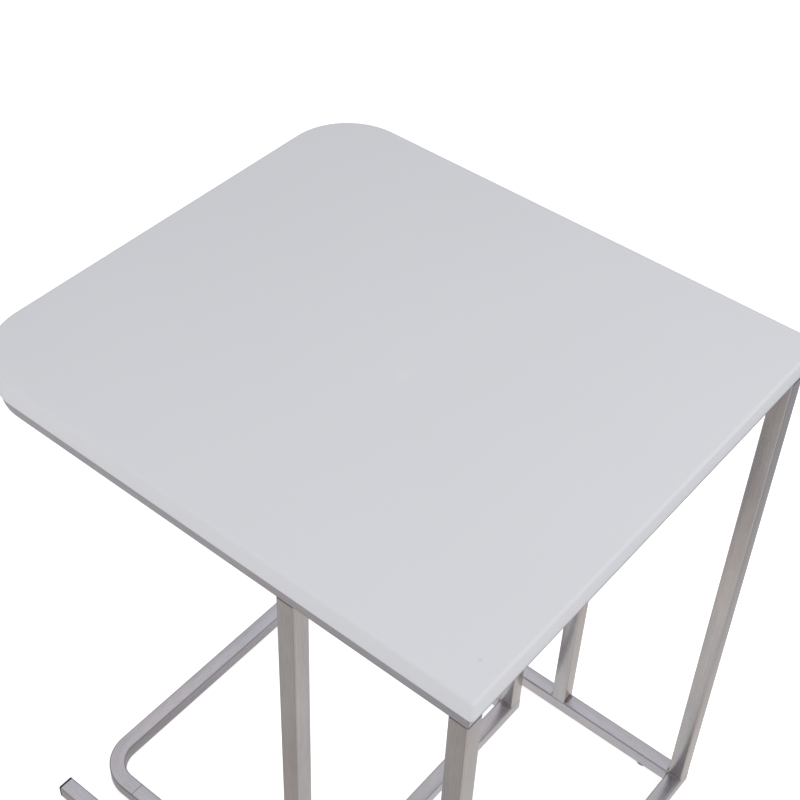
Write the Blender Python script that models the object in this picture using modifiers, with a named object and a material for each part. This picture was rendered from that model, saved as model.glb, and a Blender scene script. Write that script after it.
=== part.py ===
"""Pair of nesting tables: lacquered tops on welded frames of square steel tube.

Units are metres and +Z is up.  The origin is on the floor under the middle of
the large table.  The tables' rounded, open end faces +Y, and the small table
slides out that way.  "Left" is -X and "right" is +X.
"""
import math

import bmesh
import bpy
from mathutils import Matrix, Vector

# ---- Driving dimensions ----
GAP = 0.0003                # clearance kept between pieces that touch

TUBE = 0.016                # outside width of the square tube
TUBE_WALL = 0.0012
TUBE_CORNER = 0.0015        # outside corner radius of the tube
CORNER_STEPS = 2            # facets on each corner of the tube
BEND_STEPS = 8              # facets along each quarter bend

SLAB = 0.019                # thickness of both tops
SLAB_EDGE_ROUND = 0.0026    # rounding of a top's upper edge
SLAB_SQUARE_CORNER = 0.003  # plan radius of a top's two square corners
FRAME_INSET = 0.0045        # a frame's outer face lies this far inside its top's edge
FRONT_INSET = 0.0052        # and this far at the -Y edge

LARGE_WIDTH = 0.440
LARGE_DEPTH = 0.486
LARGE_HEIGHT = 0.610
LARGE_CORNER = 0.060        # plan radius of the two rounded corners
MID_LEG_SETBACK = 0.1513    # from the large top's -Y edge to its middle legs' -Y faces

SMALL_WIDTH = 0.358
SMALL_DEPTH = 0.296
SMALL_HEIGHT = 0.566
SMALL_CORNER = 0.045
SMALL_SETBACK = 0.005       # nested, the small top stops this far inside the large top

GLIDE_RADIUS = 0.0070
GLIDE_THICKNESS = 0.003
GLIDE_STEM_RADIUS = 0.0024
GLIDE_STEM_LENGTH = 0.007

TAB_LENGTH = 0.024          # along the rail
TAB_WIDTH = 0.018           # across the rail
TAB_THICKNESS = 0.002

SCREW_RADIUS = 0.0020
SCREW_HEAD_RADIUS = 0.0040
SCREW_HEAD_HEIGHT = 0.0022
SCREW_LENGTH = 0.015        # under the head
HOLE_STEPS = 12             # facets round a drilled hole and a turned piece

PLUG_HEAD = 0.002
PLUG_STEM = 0.012

# ---- Derived places ----
HALF_TUBE = TUBE / 2
BASE_Z = GLIDE_THICKNESS + GAP + HALF_TUBE      # centre height of the base rails
LARGE_FRONT = -LARGE_DEPTH / 2                  # the large top's -Y edge
LARGE_END = LARGE_DEPTH / 2                     # its +Y edge
SMALL_END = LARGE_END - SMALL_SETBACK
SMALL_FRONT = SMALL_END - SMALL_DEPTH


# ---- Scene ----
def clear_scene():
    for old in list(bpy.data.objects):
        bpy.data.objects.remove(old, do_unlink=True)


def new_collection(name):
    collection = bpy.data.collections.new(name)
    bpy.context.scene.collection.children.link(collection)
    return collection


clear_scene()
TABLES = new_collection("nesting_tables")
CUTTERS = new_collection("cutters")


def new_empty(name, location):
    empty = bpy.data.objects.new(name, None)
    empty.location = location
    TABLES.objects.link(empty)
    bpy.context.view_layer.update()
    return empty


def new_material(name, color, roughness, metallic):
    material = bpy.data.materials.new(name)
    material.use_nodes = True
    shader = material.node_tree.nodes["Principled BSDF"]
    shader.inputs["Base Color"].default_value = (*color, 1.0)
    shader.inputs["Roughness"].default_value = roughness
    shader.inputs["Metallic"].default_value = metallic
    return material


LACQUER = new_material("white_lacquer", (0.80, 0.80, 0.82), 0.35, 0.0)
STEEL = new_material("brushed_steel", (0.56, 0.54, 0.51), 0.32, 1.0)
PLASTIC = new_material("dark_plastic", (0.05, 0.05, 0.05), 0.55, 0.0)
ZINC = new_material("zinc_plate", (0.62, 0.63, 0.64), 0.38, 1.0)


def add_piece(name, mesh, material, parent, matrix=Matrix.Identity(4)):
    """Make the named object of one physical piece, shade it and hang it on its table."""
    mesh.materials.clear()
    mesh.materials.append(material)
    mesh.shade_smooth()
    mesh.set_sharp_from_angle(angle=math.radians(35))
    piece = bpy.data.objects.new(name, mesh)
    TABLES.objects.link(piece)
    piece.parent = parent
    piece.matrix_parent_inverse = parent.matrix_world.inverted()
    piece.matrix_world = matrix
    return piece


def add_cutter(name, mesh, matrix=Matrix.Identity(4)):
    cutter = bpy.data.objects.new(name, mesh)
    CUTTERS.objects.link(cutter)
    cutter.matrix_world = matrix
    cutter.hide_render = True
    cutter.display_type = "WIRE"
    return cutter


def cut(piece, cutter):
    boolean = piece.modifiers.new("cut_" + cutter.name, "BOOLEAN")
    boolean.operation = "DIFFERENCE"
    boolean.solver = "EXACT"
    boolean.object = cutter


# ---- Shapes ----
def arc(center, radius, start, end, steps):
    """Points on a circle's arc, in the XY plane, from one angle to another."""
    return [
        (
            center[0] + radius * math.cos(start + (end - start) * step / steps),
            center[1] + radius * math.sin(start + (end - start) * step / steps),
        )
        for step in range(steps + 1)
    ]


def rounded_rectangle(low, high, radii, steps):
    """Outline with its own radius at the corners (-X -Y), (+X -Y), (+X +Y), (-X +Y)."""
    places = ((low[0], low[1]), (high[0], low[1]), (high[0], high[1]), (low[0], high[1]))
    inward = ((1, 1), (-1, 1), (-1, -1), (1, -1))
    outline = []
    for index, (place, side, radius) in enumerate(zip(places, inward, radii)):
        center = (place[0] + side[0] * radius, place[1] + side[1] * radius)
        start = math.pi + index * math.pi / 2
        outline += arc(center, radius, start, start + math.pi / 2, steps)
    return outline


def tube_outline(shrink):
    """The square tube's outline, shrunk evenly: 0 is its outer face."""
    half = HALF_TUBE - shrink
    radius = max(TUBE_CORNER - shrink, 0.0004)
    return rounded_rectangle((-half, -half), (half, half), (radius,) * 4, CORNER_STEPS)


def add_spline(curve, points, cyclic):
    spline = curve.splines.new("POLY")
    spline.points.add(len(points) - 1)
    for target, point in zip(spline.points, points):
        target.co = (point[0], point[1], point[2] if len(point) > 2 else 0.0, 1.0)
    spline.use_cyclic_u = cyclic


def mesh_from_curve(curve):
    """Evaluate a curve to a mesh and weld its caps to its sides."""
    holder = bpy.data.objects.new(curve.name, curve)
    CUTTERS.objects.link(holder)
    evaluated = holder.evaluated_get(bpy.context.evaluated_depsgraph_get())
    mesh = bpy.data.meshes.new_from_object(evaluated)
    bpy.data.objects.remove(holder, do_unlink=True)
    body = bmesh.new()
    body.from_mesh(mesh)
    bmesh.ops.remove_doubles(body, verts=body.verts, dist=0.00001)
    bmesh.ops.dissolve_limit(body, angle_limit=math.radians(0.5), verts=body.verts, edges=body.edges)
    bmesh.ops.recalc_face_normals(body, faces=body.faces)
    body.to_mesh(mesh)
    body.free()
    return mesh


def extruded(name, outlines, thickness):
    """A flat outline, with any holes in it, centred on its thickness along Z."""
    curve = bpy.data.curves.new(name, "CURVE")
    curve.dimensions = "2D"
    curve.fill_mode = "BOTH"
    curve.extrude = thickness / 2
    for outline in outlines:
        add_spline(curve, outline, cyclic=True)
    return mesh_from_curve(curve)


def swept(name, path, outline):
    """A closed bar with the outline's section, along a level path."""
    section = bpy.data.curves.new(name + "_section", "CURVE")
    section.dimensions = "2D"
    add_spline(section, outline, cyclic=True)
    section_object = bpy.data.objects.new(name + "_section", section)
    CUTTERS.objects.link(section_object)
    curve = bpy.data.curves.new(name, "CURVE")
    curve.dimensions = "3D"
    curve.twist_mode = "Z_UP"
    curve.bevel_mode = "OBJECT"
    curve.bevel_object = section_object
    curve.use_fill_caps = True
    add_spline(curve, path, cyclic=False)
    mesh = mesh_from_curve(curve)
    bpy.data.objects.remove(section_object, do_unlink=True)
    return mesh


def turned(name, profile, steps=HOLE_STEPS):
    """Turn a (radius, height) profile, listed from top to bottom, about Z."""
    mesh = bpy.data.meshes.new(name)
    body = bmesh.new()
    verts = [body.verts.new((radius, 0.0, height)) for radius, height in profile]
    for first, second in zip(verts, verts[1:]):
        body.edges.new((first, second))
    body.to_mesh(mesh)
    body.free()
    holder = bpy.data.objects.new(name, mesh)
    CUTTERS.objects.link(holder)
    screw = holder.modifiers.new("turn", "SCREW")
    screw.steps = steps
    screw.render_steps = steps
    screw.use_merge_vertices = True
    screw.merge_threshold = 0.00001
    evaluated = holder.evaluated_get(bpy.context.evaluated_depsgraph_get())
    solid = bpy.data.meshes.new_from_object(evaluated)
    bpy.data.objects.remove(holder, do_unlink=True)
    return solid


def cylinder(name, radius, length):
    """A cylinder from z = 0 up."""
    mesh = bpy.data.meshes.new(name)
    body = bmesh.new()
    bmesh.ops.create_cone(
        body, cap_ends=True, segments=HOLE_STEPS, radius1=radius, radius2=radius, depth=length,
        matrix=Matrix.Translation((0.0, 0.0, length / 2)),
    )
    body.to_mesh(mesh)
    body.free()
    return mesh


# ---- Square tube ----
def along(start, end):
    """Length of a run, and the matrix that lays Z along it, with X level across it."""
    run = end - start
    forward = run.normalized()
    across = Vector((0.0, 0.0, 1.0)).cross(forward)
    if across.length < 0.5:
        across = Vector((1.0, 0.0, 0.0))
    up = forward.cross(across)
    matrix = Matrix((across, up, forward)).transposed().to_4x4()
    matrix.translation = (start + end) / 2
    return run.length, matrix


def add_tube(name, start, end, parent, start_mitre=0, end_mitre=0):
    """A straight hollow tube between two points on its centre line, open at both ends.

    A mitre of 1 or -1 slopes an end face at 45 degrees in plan.
    """
    length, matrix = along(Vector(start), Vector(end))
    mesh = extruded(name, (tube_outline(0.0), tube_outline(TUBE_WALL)), length)
    for vert in mesh.vertices:
        vert.co.z += vert.co.x * (end_mitre if vert.co.z > 0 else start_mitre)
    return add_piece(name, mesh, STEEL, parent, matrix)


def add_bent_end(name, half_width, start_y, end_y, radius, z, parent):
    """A tube bent to a U in plan: two short tails in -Y, two bends and a run along X."""
    def path(overrun):
        right = arc((half_width - radius, end_y - radius), radius, 0.0, math.pi / 2, BEND_STEPS)
        left = [(-x, y) for x, y in reversed(right)]
        ends = ((half_width, start_y - overrun), (-half_width, start_y - overrun))
        return [(x, y, z) for x, y in (ends[0], *right, *left, ends[1])]

    piece = add_piece(name, swept(name, path(0.0), tube_outline(0.0)), STEEL, parent)
    bore = swept(name + "_bore", path(TUBE), tube_outline(TUBE_WALL))
    cut(piece, add_cutter(name + "_bore", bore))
    return piece


def add_ring(prefix, names, half_width, front, end, bend, z, parent):
    """A level ring of tube: two sides, a mitred cross rail in -Y and a bent end in +Y.

    The ring's places are given on the tube's centre line.  It returns the two sides.
    """
    tail = end - bend - TUBE
    sides = []
    for side, x, mitre in (("left", -half_width, 1), ("right", half_width, -1)):
        start = (x, front + GAP / 2, z)
        stop = (x, tail - GAP, z)
        sides.append(add_tube(f"{prefix}_{names['side']}_{side}", start, stop, parent, -mitre))
    add_tube(
        f"{prefix}_{names['cross']}", (-half_width + GAP / 2, front, z), (half_width - GAP / 2, front, z),
        parent, 1, -1,
    )
    if bend:
        add_bent_end(f"{prefix}_{names['end']}", half_width, tail, end, bend, z, parent)
    return sides


# ---- Small pieces ----
def slab_mesh(name, low, high, rounded):
    """A top: its two +Y corners are rounded in plan, and its upper edge is rounded over."""
    radii = (SLAB_SQUARE_CORNER, SLAB_SQUARE_CORNER, rounded, rounded)
    mesh = extruded(name, (rounded_rectangle(low, high, radii, BEND_STEPS),), SLAB)
    body = bmesh.new()
    body.from_mesh(mesh)
    rim = [
        edge for edge in body.edges
        if all(vert.co.z > 0 for vert in edge.verts) and edge.calc_face_angle() > math.radians(80)
    ]
    bmesh.ops.bevel(body, geom=rim, offset=SLAB_EDGE_ROUND, segments=3, profile=0.5, affect="EDGES")
    body.to_mesh(mesh)
    body.free()
    return mesh


def add_screw_tabs(prefix, top, inner_face, rows, underside, parent):
    """Steel tabs welded inside the side rails, and the wood screws that hold the top on."""
    hole = cylinder("tab_hole", SCREW_RADIUS + GAP, TAB_THICKNESS * 3)
    head_z = underside - 2 * GAP - TAB_THICKNESS
    pilot = cylinder("pilot_hole", SCREW_RADIUS + GAP, SCREW_LENGTH)
    across = TAB_WIDTH / 2
    outline = rounded_rectangle(
        (-across, -TAB_LENGTH / 2), (across, TAB_LENGTH / 2), (0.0025,) * 4, CORNER_STEPS)
    places = [(side * (inner_face - GAP - across), y) for y in rows for side in (-1, 1)]
    for number, (x, y) in enumerate(places, start=1):
        name = f"{prefix}_screw_tab_{number}"
        tab = add_piece(
            name, extruded(name, (outline,), TAB_THICKNESS), STEEL, parent,
            Matrix.Translation((x, y, underside - GAP - TAB_THICKNESS / 2)),
        )
        low = Matrix.Translation((x, y, head_z - TAB_THICKNESS))
        cut(tab, add_cutter(name + "_hole", hole, low))
    tip = SCREW_LENGTH - 3 * GAP
    screw = turned("wood_screw", (
        (0.0, tip), (SCREW_RADIUS, tip - 2 * SCREW_RADIUS), (SCREW_RADIUS, 0.0),
        (SCREW_HEAD_RADIUS, 0.0), (SCREW_HEAD_RADIUS * 0.92, -SCREW_HEAD_HEIGHT * 0.6),
        (SCREW_HEAD_RADIUS * 0.62, -SCREW_HEAD_HEIGHT), (0.0, -SCREW_HEAD_HEIGHT),
    ))
    for number, (x, y) in enumerate(places, start=1):
        name = f"{prefix}_top_screw_{number}"
        add_piece(name, screw, ZINC, parent, Matrix.Translation((x, y, head_z)))
        low = Matrix.Translation((x, y, underside - GAP * 4))
        cut(top, add_cutter(f"{prefix}_pilot_{number}", pilot, low))


def add_glides(prefix, rails, x, rows, parent):
    """Plastic glides under the base rails: a disc on the floor with a stem in the tube's wall."""
    stem_top = GLIDE_THICKNESS + GLIDE_STEM_LENGTH
    edge = GLIDE_RADIUS * 0.12
    profile = (
        (0.0, stem_top), (GLIDE_STEM_RADIUS * 0.7, stem_top),
        (GLIDE_STEM_RADIUS, stem_top - GLIDE_STEM_RADIUS * 0.5), (GLIDE_STEM_RADIUS, GLIDE_THICKNESS),
        (GLIDE_RADIUS, GLIDE_THICKNESS), (GLIDE_RADIUS, edge), (GLIDE_RADIUS - edge, 0.0), (0.0, 0.0),
    )
    hole = cylinder("glide_hole", GLIDE_STEM_RADIUS + GAP, TUBE_WALL * 3)
    for number, (rail, side, y) in enumerate(
        [(rail, side, y) for y in rows for rail, side in zip(rails, (-1, 1))], start=1
    ):
        name = f"{prefix}_glide_{number}"
        place = Matrix.Translation((side * x, y, 0.0))
        add_piece(name, turned(name, profile, steps=16), PLASTIC, parent, place)
        low = Matrix.Translation((side * x, y, GLIDE_THICKNESS + GAP - TUBE_WALL))
        cut(rail, add_cutter(name + "_hole", hole, low))


def add_plug(name, x, end_y, z, parent):
    """A plastic plug for a tube's open +Y end: a square cap with a smaller square stem."""
    mesh = extruded(name, (tube_outline(0.0),), PLUG_HEAD)
    body = bmesh.new()
    body.from_mesh(mesh)
    inner = min(body.faces, key=lambda face: face.calc_center_median().z)
    shrink = TUBE_WALL + GAP
    bmesh.ops.inset_region(body, faces=[inner], thickness=shrink, use_even_offset=True)
    stem = bmesh.ops.extrude_discrete_faces(body, faces=[inner])["faces"]
    bmesh.ops.translate(body, vec=(0.0, 0.0, -PLUG_STEM), verts=stem[0].verts)
    body.to_mesh(mesh)
    body.free()
    _, matrix = along(Vector((x, end_y - PLUG_HEAD, z)), Vector((x, end_y, z)))
    add_piece(name, mesh, PLASTIC, parent, matrix)


# ---- Large table ----
def build_large_table():
    table = new_empty("large_table", (0.0, 0.0, 0.0))
    underside = LARGE_HEIGHT - SLAB
    half_width = LARGE_WIDTH / 2 - FRAME_INSET - HALF_TUBE
    front = LARGE_FRONT + FRONT_INSET + HALF_TUBE
    end = LARGE_END - FRAME_INSET - HALF_TUBE
    rail_z = underside - GAP - HALF_TUBE
    mid_y = LARGE_FRONT + MID_LEG_SETBACK + HALF_TUBE
    inner_face = half_width - HALF_TUBE

    outline_half = LARGE_WIDTH / 2
    mesh = slab_mesh(
        "large_top", (-outline_half, LARGE_FRONT), (outline_half, LARGE_END), LARGE_CORNER)
    top = add_piece("large_top", mesh, LACQUER, table, Matrix.Translation((0.0, 0.0, underside + SLAB / 2)))
    add_ring(
        "large", {"side": "side_rail", "cross": "front_cross_rail", "end": "end_rail"},
        half_width, front, end, LARGE_CORNER - FRAME_INSET - HALF_TUBE, rail_z, table,
    )
    add_tube(
        "large_mid_cross_rail", (-inner_face + GAP, mid_y, rail_z), (inner_face - GAP, mid_y, rail_z), table)

    leg_low = BASE_Z + HALF_TUBE + GAP
    leg_high = rail_z - HALF_TUBE - GAP
    for kind, y in (("corner", front), ("middle", mid_y)):
        for side, x in (("left", -half_width), ("right", half_width)):
            add_tube(f"large_{kind}_leg_{side}", (x, y, leg_low), (x, y, leg_high), table)

    plug_face = end + HALF_TUBE
    base_rails = []
    for side, x, mitre in (("left", -half_width, -1), ("right", half_width, 1)):
        stop = (x, plug_face - PLUG_HEAD - GAP, BASE_Z)
        name = f"large_base_rail_{side}"
        base_rails.append(add_tube(name, (x, front + GAP / 2, BASE_Z), stop, table, mitre))
        add_plug(f"large_end_plug_{side}", x, plug_face, BASE_Z, table)
    add_tube(
        "large_base_cross_rail", (-half_width + GAP / 2, front, BASE_Z), (half_width - GAP / 2, front, BASE_Z),
        table, 1, -1,
    )
    add_screw_tabs("large", top, inner_face, (-0.190, 0.030, 0.150), underside, table)
    add_glides("large", base_rails, half_width, (-0.190, 0.200), table)


# ---- Small table ----
def build_small_table():
    middle = (SMALL_FRONT + SMALL_END) / 2
    table = new_empty("small_table", (0.0, middle, 0.0))
    underside = SMALL_HEIGHT - SLAB
    half_width = SMALL_WIDTH / 2 - FRAME_INSET - HALF_TUBE
    front = SMALL_FRONT + FRONT_INSET + HALF_TUBE
    end = SMALL_END - FRAME_INSET - HALF_TUBE
    bend = SMALL_CORNER - FRAME_INSET - HALF_TUBE
    rail_z = underside - GAP - HALF_TUBE

    outline_half = SMALL_WIDTH / 2
    mesh = slab_mesh(
        "small_top", (-outline_half, SMALL_FRONT), (outline_half, SMALL_END), SMALL_CORNER)
    top = add_piece("small_top", mesh, LACQUER, table, Matrix.Translation((0.0, 0.0, underside + SLAB / 2)))
    add_ring(
        "small", {"side": "side_rail", "cross": "cross_rail", "end": "end_rail"},
        half_width, front, end, bend, rail_z, table,
    )
    base_rails = add_ring(
        "small", {"side": "base_rail", "cross": "base_cross_rail", "end": "base_end_rail"},
        half_width, front, end, bend, BASE_Z, table,
    )
    leg_low = BASE_Z + HALF_TUBE + GAP
    leg_high = rail_z - HALF_TUBE - GAP
    for side, x in (("left", -half_width), ("right", half_width)):
        add_tube(f"small_leg_{side}", (x, front, leg_low), (x, front, leg_high), table)
    add_screw_tabs("small", top, half_width - HALF_TUBE, (-0.015, 0.140), underside, table)
    add_glides("small", base_rails, half_width, (-0.020, 0.150), table)


build_large_table()
build_small_table()
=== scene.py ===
"""The looks of a pair of nesting tables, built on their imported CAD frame.

Metres, +Z up.  The tops become lacquered boards with rolled edges.  The tubes
become brushed steel with ground seams, heat tint and weld beads.
"""
import math

import bmesh
import bpy
from mathutils import Matrix, Vector


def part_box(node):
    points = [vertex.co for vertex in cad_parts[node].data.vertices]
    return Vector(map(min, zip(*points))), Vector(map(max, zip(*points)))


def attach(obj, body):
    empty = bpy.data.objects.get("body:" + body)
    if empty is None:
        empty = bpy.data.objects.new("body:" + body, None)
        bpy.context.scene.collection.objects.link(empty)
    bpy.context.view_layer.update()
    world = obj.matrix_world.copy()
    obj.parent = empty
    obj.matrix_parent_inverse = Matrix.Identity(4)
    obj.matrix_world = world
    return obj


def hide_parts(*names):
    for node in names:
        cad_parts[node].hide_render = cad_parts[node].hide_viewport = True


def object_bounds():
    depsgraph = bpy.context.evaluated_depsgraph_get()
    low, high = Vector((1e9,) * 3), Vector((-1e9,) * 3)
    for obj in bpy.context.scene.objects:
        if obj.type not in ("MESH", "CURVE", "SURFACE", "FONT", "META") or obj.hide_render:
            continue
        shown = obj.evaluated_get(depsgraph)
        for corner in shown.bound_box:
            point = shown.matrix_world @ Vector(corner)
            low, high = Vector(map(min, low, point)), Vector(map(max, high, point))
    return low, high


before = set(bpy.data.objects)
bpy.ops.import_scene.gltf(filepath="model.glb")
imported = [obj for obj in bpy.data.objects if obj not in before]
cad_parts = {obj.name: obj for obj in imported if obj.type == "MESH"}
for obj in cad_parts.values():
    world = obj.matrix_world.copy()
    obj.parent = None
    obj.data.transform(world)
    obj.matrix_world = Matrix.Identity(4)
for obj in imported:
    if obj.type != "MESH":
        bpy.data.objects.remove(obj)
cad_low, cad_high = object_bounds()

# ---- Sizes, in metres ----
TUBE = 0.016                # outside width of the square tube
HALF = TUBE / 2
TUBE_WALL = 0.0012
TUBE_CORNER = 0.0015        # radius of the tube's outside corners
CORNER_STEPS = 5            # facets on each of them
MIN_CORNER = 0.0004         # least radius of a corner where the outline shrinks
GAP = 0.0003                # the CAD's clearance between touching pieces
FRAME_INSET = 0.0045        # a frame's outer face lies this far inside its top's edge
SEAM_CHAMFER = 0.00022      # half of the groove where two tubes are welded flush
BEND_STEPS = 28             # facets along each quarter bend
CUT_STEP = 0.0025           # spacing of the rings of vertices near a weld
WELD_RINGS = 6              # rings on each side of a weld
RING_CLEARANCE = 0.0001     # an extra ring is left out nearer than this to a path's point
HEAT_REACH = 0.0065         # how far the heat tint spreads along a tube
TINT_STRENGTH = 0.85        # share of the heat tint that polishing left

LACQUER_ROLL = 0.0026       # rounding of a top's upper edge
LACQUER_ROLL_STEPS = 8
LACQUER_UNDER_ROLL = 0.0009
LACQUER_UNDER_STEPS = 4
TOP_CORNERS = {"large": 0.060, "small": 0.045}
TOP_SQUARE_CORNER = 0.003
TOP_CORNER_STEPS = 24

BEAD = 0.0021               # leg length of a fillet weld
BEAD_RIPPLE = 0.0013        # length of one ripple
BEAD_RIPPLE_STEPS = 5       # rings along it
BEAD_SWELL = 0.10           # how much a ripple swells the weld
BEAD_HOLLOW = 0.20          # half of what the weld's face loses midway between its walls
BEAD_FACETS = 6             # facets across the weld's face
BEAD_TAPER = 0.8            # the ends thin out over this much of the leg length
BEAD_TIP = 0.02             # keeps the very ends from shrinking to a point
BEAD_SINK = 0.00005         # the weld's back lies this far inside its corner
CORNER_BEAD = BEAD * 0.85   # upright welds in the frames' corners
TAB_BEAD = BEAD * 0.7

GLIDE_THICKNESS = 0.003
GLIDE_RIM = 0.0009          # rounding of the disc's lower edge
GLIDE_RIM_STEPS = 6
GLIDE_UPPER_RIM = GLIDE_RIM / 2
GLIDE_UPPER_RIM_STEPS = 4
GLIDE_STEM = 0.0024         # radius of the stem
GLIDE_TIP = GLIDE_STEM * 0.7
GLIDE_TIP_LENGTH = 0.0012   # length of the stem's tapered tip
GLIDE_STEPS = 48

PLUG_HEAD = 0.002
PLUG_ROLL = 0.0007          # rounding of the head's outer edge
PLUG_ROLL_STEPS = 5
PLUG_CHAMFER = 0.0002       # and of its inner edge
PLUG_MIN_CORNER = 0.0005
PLUG_CORNER_STEPS = 8

TAB_EDGE = 0.0003           # rounding of a tab's edges
TAB_CORNER = 0.0025
TAB_CORNER_STEPS = 5
TAB_HOLE = 0.0023           # radius of its hole
TAB_HOLE_STEPS = 24
TAB_WELD_STOP = 0.003       # the weld stops this far from the tab's corners
MERGE_DISTANCE = 0.00001

SCREW_HEAD = 0.0022
SCREW_DOME = 0.75           # share of the head's height that is domed
SCREW_DOME_STEPS = 6
SCREW_SHANK = 0.002         # radius of the shank
SCREW_POINT = 0.004         # length of the point
SCREW_STEPS = 32
RECESS_REACH = 1.15         # length of the cross recess over the head's radius
RECESS_WIDTH = 0.0008
RECESS_HEIGHT = 0.0022      # the cutter is centred on the head's lowest point
RECESS_TURN = 0.4           # radians

CAMERA_PLACE = (-0.6819, -0.5328, 1.3796)
CAMERA_TURN = (46.314, -1.790, -50.680)     # degrees
CAMERA_LENS = 69.127
CAMERA_SENSOR = 36.0
FLOOR_DROP = 0.0002         # the floor lies this far under the glides
FLOOR_HALF = 12.0

UP = Vector((0.0, 0.0, 1.0))
STAGE = bpy.data.collections.new("stage")
bpy.context.scene.collection.children.link(STAGE)
LOOKS = bpy.data.collections.new("looks")
bpy.context.scene.collection.children.link(LOOKS)


# ---- Node helpers for materials ----
class Nodes:
    """Short names for building a node tree."""

    def __init__(self, tree):
        self.tree = tree
        tree.nodes.clear()

    def add(self, kind, links=None, **settings):
        """A node with its settings, whose inputs are linked or set by name."""
        node = self.tree.nodes.new(kind)
        for key, value in settings.items():
            setattr(node, key, value)
        for key, value in (links or {}).items():
            if isinstance(value, bpy.types.NodeSocket):
                self.tree.links.new(value, node.inputs[key])
            else:
                node.inputs[key].default_value = value
        return node

    def ramp(self, factor, stops):
        """A colour ramp from (position, grey or colour) stops."""
        node = self.add("ShaderNodeValToRGB", {"Fac": factor})
        elements = node.color_ramp.elements
        while len(elements) < len(stops):
            elements.new(0.5)
        for element, (position, colour) in zip(elements, stops):
            element.position = position
            element.color = (*colour, 1.0) if isinstance(colour, tuple) else (colour,) * 3 + (1.0,)
        return node.outputs["Color"]

    def noise(self, vector, scale, detail=3.0, roughness=0.5):
        settings = {"Vector": vector, "Scale": scale, "Detail": detail, "Roughness": roughness}
        return self.add("ShaderNodeTexNoise", settings).outputs["Fac"]

    def mix(self, factor, first, second, blend="MIX"):
        """Mix two colours.  Inputs 6 and 7 and output 2 are the node's colour sockets."""
        node = self.add("ShaderNodeMix", data_type="RGBA", blend_type=blend)
        for slot, value in ((0, factor), (6, first), (7, second)):
            if isinstance(value, bpy.types.NodeSocket):
                self.tree.links.new(value, node.inputs[slot])
            else:
                node.inputs[slot].default_value = value if slot == 0 else (*value, 1.0)
        return node.outputs[2]

    def math(self, operation, first, second=0.0, clamp=False):
        node = self.add("ShaderNodeMath", operation=operation, use_clamp=clamp)
        for slot, value in ((0, first), (1, second)):
            if isinstance(value, bpy.types.NodeSocket):
                self.tree.links.new(value, node.inputs[slot])
            else:
                node.inputs[slot].default_value = value
        return node.outputs[0]

    def span(self, value, low, high):
        """Map 0..1 to low..high."""
        links = {"Value": value, "To Min": low, "To Max": high}
        return self.add("ShaderNodeMapRange", links).outputs["Result"]

    def bump(self, height, strength, distance):
        links = {"Height": height, "Strength": strength, "Distance": distance}
        return self.add("ShaderNodeBump", links).outputs["Normal"]

    def surface(self, **inputs):
        """The Principled shader, with its inputs' names spelt with underscores, and the output."""
        shader = self.add("ShaderNodeBsdfPrincipled", {k.replace("_", " "): v for k, v in inputs.items()})
        self.add("ShaderNodeOutputMaterial", {"Surface": shader.outputs[0]})


def new_nodes(name):
    material = bpy.data.materials.new(name)
    material.use_nodes = True
    return material, Nodes(material.node_tree)


def lacquer_material(name, colour, smudges=()):
    """Sprayed satin lacquer: orange peel, slow changes of gloss, and faint rubbed marks."""
    material, n = new_nodes(name)
    place = n.add("ShaderNodeTexCoord").outputs["Object"]
    cloud = n.noise(place, 5.0, 2.0)
    peel = n.noise(place, 520.0, 2.0, 0.45)
    grain = n.noise(place, 2600.0, 1.0)
    tone = n.mix(cloud, tuple(c * 0.985 for c in colour), tuple(min(c * 1.015, 1.0) for c in colour))
    gloss = n.span(cloud, 0.30, 0.38)
    for center, radius, lift in smudges:
        away = n.add("ShaderNodeVectorMath", {0: place, 1: center}, operation="SUBTRACT").outputs[0]
        ragged = n.noise(place, 260.0, 3.0, 0.6)
        reach = n.add("ShaderNodeVectorMath", {0: away}, operation="LENGTH").outputs["Value"]
        reach = n.math("ADD", reach, n.math("MULTIPLY", ragged, radius * 1.2))
        mark = n.ramp(n.math("DIVIDE", reach, radius * 2.0), [(0.45, 1.0), (0.95, 0.0)])
        shade = 1.0 if lift > 0 else 0.25
        tone = n.mix(n.math("MULTIPLY", mark, abs(lift)), tone, (shade,) * 3)
        gloss = n.math("ADD", gloss, n.math("MULTIPLY", mark, 0.12))
    height = n.math("ADD", peel, n.math("MULTIPLY", grain, 0.15))
    n.surface(Base_Color=tone, Roughness=gloss, IOR=1.5, Normal=n.bump(height, 0.10, 0.00012))
    return material


def underside_material():
    """The board's sealed underside: duller, with a faint roller texture."""
    material, n = new_nodes("sealed_underside")
    place = n.add("ShaderNodeTexCoord").outputs["Object"]
    stipple = n.noise(place, 700.0, 4.0, 0.6)
    cloud = n.noise(place, 9.0, 4.0)
    tone = n.mix(cloud, (0.70, 0.69, 0.67), (0.76, 0.755, 0.74))
    n.surface(Base_Color=tone, Roughness=n.span(stipple, 0.5, 0.7), Normal=n.bump(stipple, 0.25, 0.0003))
    return material


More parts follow.
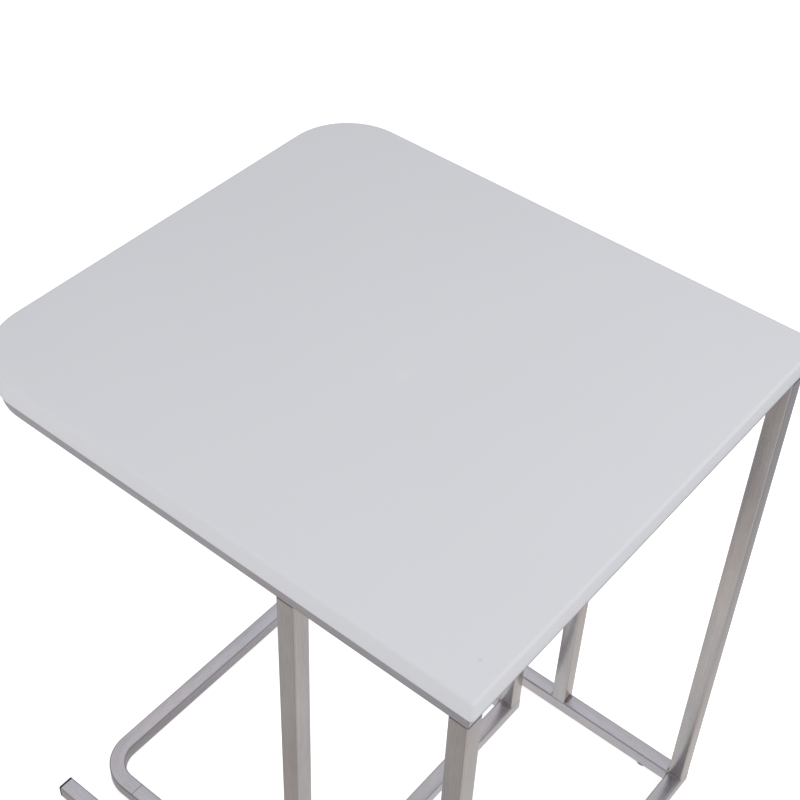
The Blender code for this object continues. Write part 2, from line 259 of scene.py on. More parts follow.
def steel_material(name, light, dark, rough):
    """Brushed stainless steel: fine streaks along the run, and straw to brown tint by the welds.

    The map "run" gives metres along and round the tube, and "heat" how hot the place was.
    """
    material, n = new_nodes(name)
    run = n.add("ShaderNodeUVMap", uv_map="run").outputs[0]
    place = n.add("ShaderNodeTexCoord").outputs["Object"]

    def streaks(along, across, detail):
        scaled = n.add("ShaderNodeMapping", {"Vector": run, "Scale": (along, across, 1.0)})
        return n.noise(scaled.outputs[0], 1.0, detail, 0.6)

    fine = streaks(55.0, 5200.0, 4.0)
    broad = streaks(9.0, 420.0, 3.0)
    cloud = n.noise(place, 14.0, 3.0)
    blotch = n.noise(place, 240.0, 4.0, 0.65)
    brushed = n.mix(0.45, n.ramp(fine, [(0.3, 0.0), (0.7, 1.0)]), n.ramp(broad, [(0.3, 0.0), (0.7, 1.0)]))
    brushed = n.mix(0.25, brushed, n.ramp(cloud, [(0.3, 0.0), (0.7, 1.0)]))
    hue = n.ramp(streaks(2.5, 150.0, 2.0), [(0.40, (1.0, 0.935, 0.905)), (0.60, (0.97, 0.965, 1.0))])
    tone = n.mix(1.0, n.mix(brushed, dark, light), hue, "MULTIPLY")
    heat = n.add("ShaderNodeAttribute", attribute_name="heat").outputs["Fac"]
    burnt = n.math("MULTIPLY", heat, n.span(blotch, 0.2, 1.7), clamp=True)
    tint = n.ramp(burnt, [(0.15, (1.0, 1.0, 1.0)), (0.45, (0.95, 0.84, 0.68)), (0.8, (0.62, 0.45, 0.36))])
    tone = n.mix(TINT_STRENGTH, tone, tint, "MULTIPLY")
    gloss = n.math("ADD", n.span(fine, rough - 0.06, rough + 0.08), n.math("MULTIPLY", burnt, 0.12))
    height = n.math("ADD", fine, n.math("MULTIPLY", broad, 0.5))
    n.surface(Base_Color=tone, Metallic=1.0, Roughness=gloss, Normal=n.bump(height, 0.16, 0.00006))
    return material


def bead_material():
    """Weld metal that wasn't ground: matt, and grey to straw brown."""
    material, n = new_nodes("weld_metal")
    place = n.add("ShaderNodeTexCoord").outputs["Object"]
    spots = n.noise(place, 900.0, 4.0, 0.6)
    tint = n.noise(place, 160.0, 3.0)
    tone = n.ramp(tint, [(0.30, (0.50, 0.47, 0.45)), (0.5, (0.46, 0.41, 0.35)), (0.72, (0.33, 0.25, 0.21))])
    gloss = n.span(spots, 0.30, 0.5)
    n.surface(Base_Color=tone, Metallic=1.0, Roughness=gloss, Normal=n.bump(spots, 0.3, 0.0001))
    return material


def plastic_material():
    """Moulded black plastic with a fine spark-eroded texture and a little floor scuffing."""
    material, n = new_nodes("moulded_plastic")
    place = n.add("ShaderNodeTexCoord").outputs["Object"]
    texture = n.noise(place, 2400.0, 3.0, 0.7)
    scuff = n.ramp(n.noise(place, 350.0, 5.0, 0.7), [(0.62, 0.0), (0.75, 1.0)])
    tone = n.mix(n.math("MULTIPLY", scuff, 0.35), (0.028, 0.028, 0.030), (0.12, 0.118, 0.115))
    n.surface(Base_Color=tone, Roughness=n.span(texture, 0.45, 0.68), Normal=n.bump(texture, 0.35, 0.00015))
    return material


def zinc_material():
    """Bright zinc plate with a faint yellow bloom."""
    material, n = new_nodes("zinc_plate_finish")
    place = n.add("ShaderNodeTexCoord").outputs["Object"]
    bloom = n.noise(place, 420.0, 3.0)
    speck = n.noise(place, 3000.0, 2.0)
    tone = n.mix(bloom, (0.66, 0.67, 0.69), (0.60, 0.58, 0.50))
    gloss = n.span(speck, 0.24, 0.42)
    n.surface(Base_Color=tone, Metallic=1.0, Roughness=gloss, Normal=n.bump(speck, 0.15, 0.00005))
    return material


# Faint marks in the large top: place, radius, and how much lighter or darker they are.
SMUDGES = (
    (Vector((-0.0199, -0.0265, cad_high.z)), 0.0085, 0.10),
    (Vector((-0.1903, -0.2252, cad_high.z)), 0.0016, -0.16),
)
WHITE = (0.795, 0.797, 0.822)
LACQUER = lacquer_material("white_lacquer_finish", WHITE, SMUDGES)
LACQUER_SMALL = lacquer_material("white_lacquer_small", WHITE)
UNDERSIDE = underside_material()
# The legs and tabs, then the rails, which are a little cooler and rougher.
STEEL = steel_material("brushed_steel_finish", (0.66, 0.655, 0.645), (0.45, 0.445, 0.435), 0.21)
RAIL_STEEL = steel_material("brushed_steel_rails", (0.675, 0.685, 0.725), (0.460, 0.472, 0.507), 0.28)
BEAD_METAL = bead_material()
PLASTIC = plastic_material()
ZINC = zinc_material()


# ---- Mesh helpers ----
def finish_piece(name, mesh, materials, body, replaces=(), smooth_angle=38.0):
    """Shade a mesh, give it its materials and hang it on its CAD body."""
    for material in materials:
        mesh.materials.append(material)
    mesh.shade_smooth()
    mesh.set_sharp_from_angle(angle=math.radians(smooth_angle))
    piece = bpy.data.objects.new(name, mesh)
    LOOKS.objects.link(piece)
    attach(piece, body)
    if replaces:
        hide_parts(*replaces)
    return piece


def rounded_rectangle(low, high, radii, steps):
    """Outline with its own radius at the corners (-X -Y), (+X -Y), (+X +Y), (-X +Y)."""
    places = ((low[0], low[1]), (high[0], low[1]), (high[0], high[1]), (low[0], high[1]))
    inward = ((1, 1), (-1, 1), (-1, -1), (1, -1))
    outline = []
    for index, (place, side, radius) in enumerate(zip(places, inward, radii)):
        start = math.pi + index * math.pi / 2
        for step in range(steps + 1):
            angle = start + math.pi / 2 * step / steps
            outline.append((
                place[0] + side[0] * radius + radius * math.cos(angle),
                place[1] + side[1] * radius + radius * math.sin(angle),
            ))
    return outline


def bridge(body, rings, closed=False):
    """Quads between each ring of vertices and the next; closed joins the last to the first too."""
    count = len(rings[0])
    followers = rings[1:] + rings[:1] if closed else rings[1:]
    for lower, upper in zip(rings, followers):
        for index in range(count):
            after = (index + 1) % count
            body.faces.new((lower[index], lower[after], upper[after], upper[index]))


def roll(radius, start_height, steps, rising):
    """(inset, height) points of a rolled edge; rising ones curve inwards as they go up."""
    points = []
    for step in range(steps + 1):
        angle = math.pi / 2 * step / steps
        if rising:
            points.append((radius * (1 - math.cos(angle)), start_height + radius * math.sin(angle)))
        else:
            points.append((radius * (1 - math.sin(angle)), start_height + radius * (1 - math.cos(angle))))
    return points


def stacked(outline_at, profile):
    """A solid of outlines stacked by an (inset, height) profile, listed upwards."""
    body = bmesh.new()
    rings = [
        [body.verts.new((x, y, height)) for x, y in outline_at(inset)] for inset, height in profile
    ]
    bridge(body, rings)
    body.faces.new(list(reversed(rings[0])))
    body.faces.new(rings[-1])
    return body


def to_mesh(body, name):
    """A mesh from a bmesh, with its faces turned outwards."""
    bmesh.ops.recalc_face_normals(body, faces=body.faces)
    mesh = bpy.data.meshes.new(name)
    body.to_mesh(mesh)
    body.free()
    return mesh


# ---- Tops ----
def build_top(table):
    """A lacquered board with rolled edges, two large corners and two small ones."""
    node = f"{table}_top"
    low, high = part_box(node)

    def outline_at(inset):
        corner = TOP_CORNERS[table] - inset
        square = TOP_SQUARE_CORNER - inset
        return rounded_rectangle(
            (low.x + inset, low.y + inset), (high.x - inset, high.y - inset),
            (square, square, corner, corner), TOP_CORNER_STEPS,
        )

    profile = roll(LACQUER_UNDER_ROLL, low.z, LACQUER_UNDER_STEPS, rising=False)
    profile += roll(LACQUER_ROLL, high.z - LACQUER_ROLL, LACQUER_ROLL_STEPS, rising=True)
    body = stacked(outline_at, profile)
    flat_limit = low.z + LACQUER_UNDER_ROLL / 20
    for face in body.faces:
        face.material_index = 1 if face.calc_center_median().z < flat_limit else 0
    lacquer = LACQUER if table == "large" else LACQUER_SMALL
    name = f"{node}_board"
    finish_piece(
        name, to_mesh(body, name), (lacquer, UNDERSIDE), f"{table}_table",
        (node,), smooth_angle=60,
    )


# ---- Tubes ----
def tube_outline(shrink):
    """The tube's cross-section, drawn inwards by shrink."""
    half = HALF - shrink
    radius = max(TUBE_CORNER - shrink, MIN_CORNER)
    return rounded_rectangle((-half, -half), (half, half), (radius,) * 4, CORNER_STEPS)


def cut_places(length, welds):
    """Distances along a tube where it gets a ring of vertices, closer together near its welds."""
    places = {0.0, SEAM_CHAMFER, length - SEAM_CHAMFER, length}
    for weld in welds:
        for step in range(-WELD_RINGS, WELD_RINGS + 1):
            place = weld + step * CUT_STEP
            if CUT_STEP / 2 < place < length - CUT_STEP / 2:
                places.add(place)
    return sorted(places)


def walk(path, places):
    """(distance, point, direction) for the path's own points and for the extra places."""
    stops = []
    travelled = 0.0
    for index, point in enumerate(path):
        before = path[max(index - 1, 0)]
        after = path[min(index + 1, len(path) - 1)]
        stops.append((travelled, point, (after - before).normalized()))
        if index + 1 < len(path):
            step = path[index + 1] - point
            first, last = travelled + RING_CLEARANCE, travelled + step.length - RING_CLEARANCE
            for place in places:
                if first < place < last:
                    there = point + step * ((place - travelled) / step.length)
                    stops.append((place, there, step.normalized()))
            travelled += step.length
    return sorted(stops, key=lambda stop: stop[0])


def path_length(path):
    """Length of a line through points."""
    return sum((second - first).length for first, second in zip(path, path[1:]))


def write_run(body, run_layer, rows, distances):
    """Write each face corner's metres along the tube and round it."""
    perimeter = 4 * TUBE
    columns = {vert: index for verts in rows for index, vert in enumerate(verts)}
    count = len(rows[0])
    for face in body.faces:
        used = [columns[vert] for vert in face.verts]
        wraps = max(used) - min(used) > 1
        for loop in face.loops:
            column = columns[loop.vert]
            if wraps and column == 0:
                column = count
            loop[run_layer].uv = (distances[loop.vert], perimeter * column / count)


def tube_mesh(name, path, welds, mitres=(None, None)):
    """A hollow square tube along a path, with the maps that its material reads.

    A mitre is the level direction towards the frame's inside: the end is cut at 45 degrees to it.
    Rings near a mitred end lean with it, less with distance, so they never cross each other.
    """
    length = path_length(path)
    stops = walk(path, cut_places(length, welds))
    body = bmesh.new()
    heat_layer = body.verts.layers.float.new("heat")
    run_layer = body.loops.layers.uv.new("run")
    rows = []
    distances = {}

    def ring(stop, shrink, inner):
        """A ring of vertices at a stop, on the tube's outside or its inside."""
        distance, center, forward = stop
        across = UP.cross(forward)
        across = Vector((1.0, 0.0, 0.0)) if across.length < 0.5 else across.normalized()
        up = forward.cross(across)
        verts = []
        for a, b in tube_outline(TUBE_WALL if inner else shrink):
            offset = across * a + up * b
            end = 0 if distance < length / 2 else 1
            slope = 0.0
            if mitres[end] is not None:
                fade = max(0.0, 1.0 - min(distance, length - distance) / TUBE)
                slope = offset.dot(mitres[end]) * fade * (1 if end == 0 else -1)
            vert = body.verts.new(center + offset + forward * slope)
            vert[heat_layer] = max(
                (math.exp(-(((distance + slope - weld) / HEAT_REACH) ** 2)) for weld in welds),
                default=0.0,
            )
            verts.append(vert)
            distances[vert] = distance + slope
        rows.append(verts)
        return verts

    outer = []
    for stop in stops:
        at_end = stop[0] < SEAM_CHAMFER / 2 or stop[0] > length - SEAM_CHAMFER / 2
        outer.append(ring(stop, SEAM_CHAMFER if at_end else 0.0, inner=False))
    inner = [ring(stops[-1], 0.0, inner=True), ring(stops[0], 0.0, inner=True)]
    if len(path) > 2:
        inner = [ring(stop, 0.0, inner=True) for stop in reversed(stops)]
    bridge(body, outer + inner, closed=True)
    write_run(body, run_layer, rows, distances)
    return to_mesh(body, name)


def straight_run(node):
    """Start and end of a straight tube's centre line, from its CAD box."""
    low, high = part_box(node)
    size = high - low
    axis = max(range(3), key=lambda index: size[index])
    start, end = (low + high) / 2, (low + high) / 2
    start[axis] = low[axis]
    end[axis] = high[axis]
    return start, end


STRAIGHT = {
    "large": (
        "side_rail_left", "side_rail_right", "front_cross_rail", "mid_cross_rail",
        "corner_leg_left", "corner_leg_right", "middle_leg_left", "middle_leg_right",
        "base_rail_left", "base_rail_right", "base_cross_rail",
    ),
    "small": (
        "side_rail_left", "side_rail_right", "cross_rail", "leg_left", "leg_right",
        "base_rail_left", "base_rail_right", "base_cross_rail",
    ),
}
BENT = {"large": ("end_rail",), "small": ("end_rail", "base_end_rail")}
MITRED_BOTH_ENDS = ("front_cross_rail", "cross_rail", "base_cross_rail")
MITRED_FRONT = ("side_rail_left", "side_rail_right", "base_rail_left", "base_rail_right")
PLUGGED = ("large_base_rail_left", "large_base_rail_right")


def bent_path(node, corner):
    """The centre line of a U-shaped end rail: tail, bend, straight run, bend, tail."""
    low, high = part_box(node)
    z = (low.z + high.z) / 2
    half_width = high.x - HALF
    end = high.y - HALF
    points = [Vector((half_width, low.y, z))]
    for side, first in ((1, 0.0), (-1, math.pi / 2)):
        for step in range(BEND_STEPS + 1):
            angle = first + math.pi / 2 * step / BEND_STEPS
            points.append(Vector((
                side * (half_width - corner) + corner * math.cos(angle),
                end - corner + corner * math.sin(angle), z,
            )))
    points.append(Vector((-half_width, low.y, z)))
    return points


def build_tubes(table):
    """Every tube of one table.  It returns each straight tube's run, for the weld beads."""
    body = f"{table}_table"
    runs = {name: straight_run(f"{table}_{name}") for name in STRAIGHT[table]}
    ends = [point for run in runs.values() for point in run]
    for name, (start, end) in runs.items():
        node = f"{table}_{name}"
        forward = (end - start).normalized()
        length = (end - start).length
        mitres = [None, None]
        if name in MITRED_BOTH_ENDS:
            mitres = [Vector((0.0, 1.0, 0.0))] * 2
        elif name in MITRED_FRONT:
            mitres[0] = Vector((-1.0 if start.x > 0 else 1.0, 0.0, 0.0))
        first = start + forward * (HALF if mitres[0] else -GAP / 2)
        last = end + forward * (-HALF if mitres[1] else GAP / 2)
        if node in PLUGGED:
            last = end
        welds = set()
        for point in ends:
            along = (point - first).dot(forward)
            beside = (point - first - forward * along).length
            if beside < TUBE and -TUBE < along < length + TUBE:
                welds.add(round(min(max(along, 0.0), (last - first).length), 5))
        if node in PLUGGED:
            welds = {weld for weld in welds if weld < length / 2}
        name_fine = f"{node}_tube"
        mesh = tube_mesh(name_fine, [first, last], sorted(welds), mitres)
        steel = STEEL if "leg" in name else RAIL_STEEL
        finish_piece(name_fine, mesh, (steel,), body, (node,))
    for name in BENT[table]:
        node = f"{table}_{name}"
        corner = TOP_CORNERS[table] - FRAME_INSET - HALF
        path = bent_path(node, corner)
        name_fine = f"{node}_tube"
        mesh = tube_mesh(name_fine, path, (0.0, path_length(path)))
        finish_piece(name_fine, mesh, (RAIL_STEEL,), body, (node,))
    return runs


# ---- Weld beads ----
def bead_mesh(name, start, end, first_wall, second_wall, size=BEAD):
    """A rippled fillet weld in the corner between two walls, given by their directions out of it.

    Its face is fullest against the walls and a little hollow between them.
    """
    forward = (end - start).normalized()
    length = (end - start).length
    count = max(int(length / BEAD_RIPPLE * BEAD_RIPPLE_STEPS), 2 * BEAD_RIPPLE_STEPS)
    body = bmesh.new()
    rings = []
    for step in range(count + 1):
        distance = length * step / count
        taper = min(1.0, math.sqrt(min(distance, length - distance) / (size * BEAD_TAPER) + BEAD_TIP))
        ripple = 1.0 + BEAD_SWELL * math.sin(distance / BEAD_RIPPLE * 2 * math.pi)
        reach = size * taper * ripple
        center = start + forward * distance
        corner = center - (first_wall + second_wall) * BEAD_SINK
        ring = [body.verts.new(corner)]
        for facet in range(BEAD_FACETS + 1):
            angle = math.pi / 2 * facet / BEAD_FACETS
            bulge = reach * (1.0 - BEAD_HOLLOW + BEAD_HOLLOW * math.cos(4 * angle))
            ring.append(body.verts.new(
                center + first_wall * bulge * math.cos(angle) + second_wall * bulge * math.sin(angle)
            ))
        rings.append(ring)
    bridge(body, rings)
    body.faces.new(list(reversed(rings[0])))
    body.faces.new(rings[-1])
    return to_mesh(body, name)


def add_bead(name, table, start, end, first_wall, second_wall, size=BEAD):
    """Make a weld and hang it on its table."""
    mesh = bead_mesh(name, Vector(start), Vector(end), Vector(first_wall), Vector(second_wall), size)
    finish_piece(name, mesh, (BEAD_METAL,), f"{table}_table", smooth_angle=70)


def build_leg_beads(table, runs):
    """Fillets where each leg meets the rails above and below it, on the leg's +Y, -Y and inner sides."""
    reach = HALF - TUBE_CORNER
    for name, (start, end) in runs.items():
        if "leg" not in name:
            continue
        corner_leg = name.startswith("corner") or table == "small"
        inward = -1 if start.x > 0 else 1
        for level, z, wall in (("top", end.z + GAP / 2, -1), ("foot", start.z - GAP / 2, 1)):
            label = f"weld_{table}_{name}_{level}"
            rail = (0, 0, wall)
            sides = [("a", 1)] if corner_leg else [("a", 1), ("b", -1)]
            for letter, facing in sides:
                face = start.y + facing * HALF
                first, last = (start.x - reach, face, z), (start.x + reach, face, z)
                add_bead(f"{label}_{letter}", table, first, last, (0, facing, 0), rail)
            if corner_leg or (name.startswith("middle") and level == "top"):
                face = start.x + inward * HALF
                first, last = (face, start.y - reach, z), (face, start.y + reach, z)
                add_bead(f"{label}_c", table, first, last, (inward, 0, 0), rail)


def build_corner_beads(table, runs):
    """Upright fillets inside the frames' mitred corners, and beside the middle cross rail."""
    for name, (start, end) in runs.items():
        if "cross_rail" not in name:
            continue
        middle = name.startswith("mid")
        inner = 0.0 if middle else TUBE
        for side, x, inward in (("left", start.x + inner, 1), ("right", end.x - inner, -1)):
            faces = ((start.y + HALF, 1), (start.y - HALF, -1)) if middle else ((start.y + HALF, 1),)
            for number, (y, facing) in enumerate(faces, start=1):
                low_z, high_z = start.z - HALF + TUBE_CORNER, start.z + HALF - TUBE_CORNER
                add_bead(
                    f"weld_{table}_{name}_{side}_{number}", table, (x, y, low_z), (x, y, high_z),
                    (inward, 0, 0), (0, facing, 0), CORNER_BEAD,
                )


# ---- Small pieces ----
def turned_mesh(name, profile, steps, center):
    """Turn a (radius, height) profile about a vertical line; it starts and ends on the line."""
    body = bmesh.new()
    rings = []
    for radius, height in profile[1:-1]:
        rings.append([
            body.verts.new((
                center.x + radius * math.cos(2 * math.pi * step / steps),
                center.y + radius * math.sin(2 * math.pi * step / steps), height,
            ))
            for step in range(steps)
        ])
    bridge(body, rings)
    for ring, (_, height) in ((rings[0], profile[0]), (rings[-1], profile[-1])):
        tip = body.verts.new((center.x, center.y, height))
        for index in range(steps):
            body.faces.new((ring[index], ring[(index + 1) % steps], tip))
    return to_mesh(body, name)


def build_glide(node, table):
    """A plastic glide: a disc with softened edges and a stem up into the tube."""
    low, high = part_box(node)
    radius = (high.x - low.x) / 2
    disc_top = low.z + GLIDE_THICKNESS
    rims = roll(GLIDE_RIM, low.z, GLIDE_RIM_STEPS, rising=False)
    rims += roll(GLIDE_UPPER_RIM, disc_top - GLIDE_UPPER_RIM, GLIDE_UPPER_RIM_STEPS, rising=True)
    profile = [(0.0, low.z)]
    profile += [(radius - inset, height) for inset, height in rims]
    profile += [(GLIDE_STEM, disc_top), (GLIDE_STEM, high.z - GLIDE_TIP_LENGTH)]
    profile += [(GLIDE_TIP, high.z), (0.0, high.z)]
    name = f"{node}_foot"
    mesh = turned_mesh(name, profile, GLIDE_STEPS, (low + high) / 2)
    finish_piece(name, mesh, (PLASTIC,), f"{table}_table", (node,))


def build_plug(node, table):
    """A square plastic cap with a softened head and a stem inside the tube."""
    low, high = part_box(node)
    center = (low + high) / 2
    depth = high.y - low.y
    neck = depth - PLUG_HEAD

    def outline_at(inset):
        half = HALF - inset
        corner = max(TUBE_CORNER - inset, PLUG_MIN_CORNER)
        return rounded_rectangle((-half, -half), (half, half), (corner,) * 4, PLUG_CORNER_STEPS)

    stem_inset = TUBE_WALL + GAP
    profile = [(stem_inset, 0.0), (stem_inset, neck), (PLUG_CHAMFER, neck), (0.0, neck + PLUG_CHAMFER)]
    profile += roll(PLUG_ROLL, depth - PLUG_ROLL, PLUG_ROLL_STEPS, rising=True)
    body = stacked(outline_at, profile)
    turn = Matrix.Rotation(-math.pi / 2, 4, "X")
    place = Matrix.Translation((center.x, low.y, center.z))
    bmesh.ops.transform(body, matrix=place @ turn, verts=body.verts)
    name = f"{node}_cap"
    finish_piece(name, to_mesh(body, name), (PLASTIC,), f"{table}_table", (node,))


def tab_mesh(node, size):
    """A plate about the origin with rounded corners, softened edges and a screw hole."""
    curve = bpy.data.curves.new(f"{node}_outline", "CURVE")
    curve.dimensions = "2D"
    curve.fill_mode = "BOTH"
    curve.extrude = size.z / 2 - TAB_EDGE
    curve.bevel_depth = TAB_EDGE
    curve.bevel_resolution = 2
    curve.offset = -TAB_EDGE
    angles = [2 * math.pi * step / TAB_HOLE_STEPS for step in range(TAB_HOLE_STEPS)]
    circle = [(TAB_HOLE * math.cos(angle), TAB_HOLE * math.sin(angle)) for angle in angles]
    corners = (TAB_CORNER,) * 4
    outer = rounded_rectangle(
        (-size.x / 2, -size.y / 2), (size.x / 2, size.y / 2), corners, TAB_CORNER_STEPS,
    )
    for outline in (outer, circle):
        spline = curve.splines.new("POLY")
        spline.points.add(len(outline) - 1)
        for target, point in zip(spline.points, outline):
            target.co = (*point, 0.0, 1.0)
        spline.use_cyclic_u = True
    holder = bpy.data.objects.new(curve.name, curve)
    LOOKS.objects.link(holder)
    evaluated = holder.evaluated_get(bpy.context.evaluated_depsgraph_get())
    mesh = bpy.data.meshes.new_from_object(evaluated)
    bpy.data.objects.remove(holder, do_unlink=True)
    return mesh


def build_tab(node, table):
    """A steel tab beside its rail, with the maps that its material reads, and the weld between."""
    low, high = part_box(node)
    center = (low + high) / 2
    mesh = tab_mesh(node, high - low)
    body = bmesh.new()
    body.from_mesh(mesh)
    bmesh.ops.remove_doubles(body, verts=body.verts, dist=MERGE_DISTANCE)
    bmesh.ops.translate(body, vec=center, verts=body.verts)
    heat_layer = body.verts.layers.float.new("heat")
    run_layer = body.loops.layers.uv.verify()
    rail_x = high.x if center.x > 0 else low.x
    for vert in body.verts:
        vert[heat_layer] = math.exp(-(((vert.co.x - rail_x) / HEAT_REACH) ** 2))
    for face in body.faces:
        for loop in face.loops:
            loop[run_layer].uv = (loop.vert.co.y, loop.vert.co.x)
    body.to_mesh(mesh)
    body.free()
    mesh.uv_layers[0].name = "run"
    name = f"{node}_plate"
    mesh.name = name
    finish_piece(name, mesh, (STEEL,), f"{table}_table", (node,))
    inward = -1 if center.x > 0 else 1
    add_bead(
        f"weld_{node}", table,
        (rail_x, low.y + TAB_WELD_STOP, low.z), (rail_x, high.y - TAB_WELD_STOP, low.z),
        (inward, 0, 0), (0, 0, -1), TAB_BEAD,
    )


def build_screw(node, table):
    """A pan-head wood screw with a cross recess; its point is hidden in the board."""
    low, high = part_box(node)
    center = (low + high) / 2
    radius = (high.x - low.x) / 2
    profile = [(0.0, low.z)]
    for step in range(1, SCREW_DOME_STEPS + 1):
        angle = math.pi / 2 * step / SCREW_DOME_STEPS
        height = low.z + SCREW_HEAD * SCREW_DOME * (1 - math.cos(angle))
        profile.append((radius * math.sin(angle), height))
    profile += [(radius, low.z + SCREW_HEAD), (SCREW_SHANK, low.z + SCREW_HEAD)]
    profile += [(SCREW_SHANK, high.z - SCREW_POINT), (0.0, high.z)]
    name = f"{node}_head"
    mesh = turned_mesh(name, profile, SCREW_STEPS, center)
    piece = finish_piece(name, mesh, (ZINC,), f"{table}_table", (node,))
    for turn in (0.0, math.pi / 2):
        cutter_mesh = bpy.data.meshes.new("cross_arm")
        cutter_body = bmesh.new()
        bmesh.ops.create_cube(cutter_body, size=1.0)
        arm = Matrix.Diagonal((radius * RECESS_REACH, RECESS_WIDTH, RECESS_HEIGHT, 1.0))
        place = Matrix.Translation((center.x, center.y, low.z))
        place = place @ Matrix.Rotation(turn + RECESS_TURN, 4, "Z")
        bmesh.ops.transform(cutter_body, matrix=place @ arm, verts=cutter_body.verts)
        cutter_body.to_mesh(cutter_mesh)
        cutter_body.free()
        cutter = bpy.data.objects.new("cross_arm", cutter_mesh)
        LOOKS.objects.link(cutter)
        boolean = piece.modifiers.new("recess", "BOOLEAN")
        boolean.object = cutter
        evaluated = piece.evaluated_get(bpy.context.evaluated_depsgraph_get())
        cut_mesh = bpy.data.meshes.new_from_object(evaluated)
        piece.modifiers.clear()
        piece.data = cut_mesh
        bpy.data.objects.remove(cutter, do_unlink=True)


def build_table(table):
    """Every piece of one table."""
    build_top(table)
    runs = build_tubes(table)
    build_leg_beads(table, runs)
    build_corner_beads(table, runs)
    for node in sorted(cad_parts):
        if not node.startswith(f"{table}_"):
            continue
        if "_glide_" in node:
            build_glide(node, table)
        elif "_plug_" in node:
            build_plug(node, table)
        elif "_screw_tab_" in node:
            build_tab(node, table)
        elif "_top_screw_" in node:
            build_screw(node, table)


for table_name in ("large", "small"):
    build_table(table_name)


# ---- Stage: floor, light and camera ----
# Painted reflections: for glossy rays only, the floor glows in bands, so the steel mirrors a set
# brightness in each place. Places along X - Y, in bands from the tables' -X +Y side to their +X -Y
# side, and colours.
BANDS_START = -1.0          # X - Y in metres at place 0
BANDS_LENGTH = 2.4          # and how much more it is at place 1
PAINTED_REFLECTION_BANDS = [
    (0.04, (0.555, 0.54, 0.54)), (0.29, (0.46, 0.435, 0.43)), (0.46, (0.75, 0.735, 0.735)),
    (0.63, (0.70, 0.67, 0.65)), (0.75, (0.52, 0.515, 0.525)), (0.90, (0.41, 0.41, 0.43)),
]


def build_floor():
    """A pale floor that reads as white paper, and keeps a soft contact shadow.

    The camera sees it lifted almost to white. Glossy rays see it glow in bands, a painted reflection for the
    steel. Others see paper.
    """
    mesh = bpy.data.meshes.new("floor")
    body = bmesh.new()
    bmesh.ops.create_grid(body, x_segments=1, y_segments=1, size=FLOOR_HALF)
    body.to_mesh(mesh)
    body.free()
    floor = bpy.data.objects.new("floor", mesh)
    floor.location.z = cad_low.z - FLOOR_DROP
    STAGE.objects.link(floor)
    material, n = new_nodes("pale_floor")
    paper = n.add("ShaderNodeBsdfDiffuse", {"Color": (0.85, 0.85, 0.85, 1.0)}).outputs[0]
    white = n.add("ShaderNodeBsdfDiffuse", {"Color": (0.82, 0.82, 0.82, 1.0)}).outputs[0]
    lift = n.add("ShaderNodeEmission", {"Color": (1.0, 1.0, 1.0, 1.0), "Strength": 0.70}).outputs[0]
    seen = n.add("ShaderNodeAddShader", {0: white, 1: lift}).outputs[0]
    place = n.add("ShaderNodeSeparateXYZ", {0: n.add("ShaderNodeTexCoord").outputs["Object"]}).outputs
    across = n.math("SUBTRACT", place["X"], place["Y"])
    band = n.math("DIVIDE", n.math("SUBTRACT", across, BANDS_START), BANDS_LENGTH)
    # glow seen only by glossy rays: painted reflections in the steel, set band by band
    painted_reflection_glow = n.ramp(band, PAINTED_REFLECTION_BANDS)
    reflected = n.add("ShaderNodeEmission", {"Color": painted_reflection_glow, "Strength": 1.0}).outputs[0]
    ray = n.add("ShaderNodeLightPath").outputs
    mixed = n.add("ShaderNodeMixShader", {0: ray["Is Glossy Ray"], 1: paper, 2: reflected}).outputs[0]
    mixed = n.add("ShaderNodeMixShader", {0: ray["Is Camera Ray"], 1: mixed, 2: seen}).outputs[0]
    n.add("ShaderNodeOutputMaterial", {"Surface": mixed})
    mesh.materials.append(material)


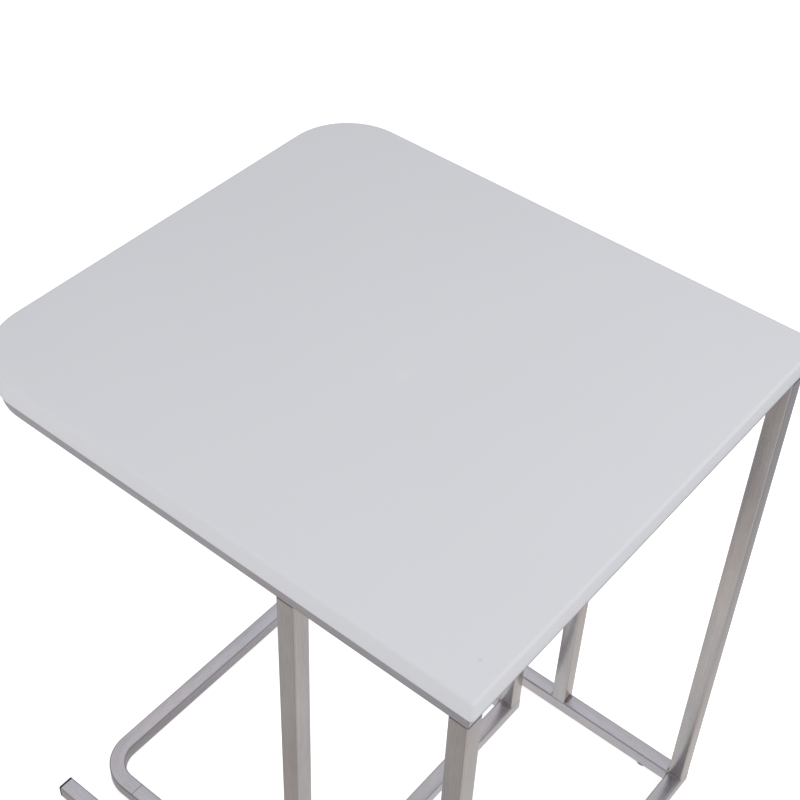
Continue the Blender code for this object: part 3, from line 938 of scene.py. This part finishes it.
def build_world():
    """Soft white surroundings; the steel mirrors a room that is pale above and dark low down."""
    world = bpy.data.worlds.new("studio")
    bpy.context.scene.world = world
    world.use_nodes = True
    n = Nodes(world.node_tree)
    direction = n.add("ShaderNodeTexCoord").outputs["Generated"]
    height = n.add("ShaderNodeSeparateXYZ", {0: direction}).outputs["Z"]
    room = n.ramp(height, [
        (0.0, 0.28), (0.10, 0.10), (0.45, 0.20), (0.72, (0.78, 0.76, 0.77)), (1.0, (0.85, 0.83, 0.84)),
    ])
    reflected = n.add("ShaderNodeBackground", {"Color": room, "Strength": 1.0}).outputs[0]
    fill = n.add("ShaderNodeBackground", {"Color": (0.96, 0.97, 1.0, 1.0), "Strength": 0.597}).outputs[0]
    white = n.add("ShaderNodeBackground", {"Color": (1.0, 1.0, 1.0, 1.0), "Strength": 1.0}).outputs[0]
    path = n.add("ShaderNodeLightPath")
    light = n.add("ShaderNodeMixShader", {0: path.outputs["Is Glossy Ray"], 1: fill, 2: reflected}).outputs[0]
    seen = n.add("ShaderNodeMixShader", {0: path.outputs["Is Camera Ray"], 1: light, 2: white}).outputs[0]
    n.add("ShaderNodeOutputWorld", {"Surface": seen})


def add_softbox(name, location, target, width, height, power):
    """A soft light aimed at a point, which the steel doesn't mirror."""
    light = bpy.data.lights.new(name, "AREA")
    light.shape = "RECTANGLE"
    light.size = width
    light.size_y = height
    light.energy = power
    box = bpy.data.objects.new(name, light)
    box.location = location
    box.rotation_euler = (Vector(target) - Vector(location)).to_track_quat("-Z", "Y").to_euler()
    box.visible_glossy = False
    STAGE.objects.link(box)


def build_camera():
    """The camera, looking down on the large top's nearer corner."""
    data = bpy.data.cameras.new("camera")
    data.sensor_width = CAMERA_SENSOR
    data.lens = CAMERA_LENS
    camera = bpy.data.objects.new("camera", data)
    camera.location = CAMERA_PLACE
    camera.rotation_euler = [math.radians(angle) for angle in CAMERA_TURN]
    STAGE.objects.link(camera)
    bpy.context.scene.camera = camera


build_floor()
build_world()
add_softbox("key", (0.5, -1.9, 2.3), (0.0, 0.0, 0.5), width=1.8, height=1.4, power=22.0)
add_softbox("fill", (-2.2, 0.4, 0.9), (0.0, 0.0, 0.4), width=1.6, height=1.2, power=9.0)
build_camera()
bpy.context.scene.view_settings.view_transform = "Standard"
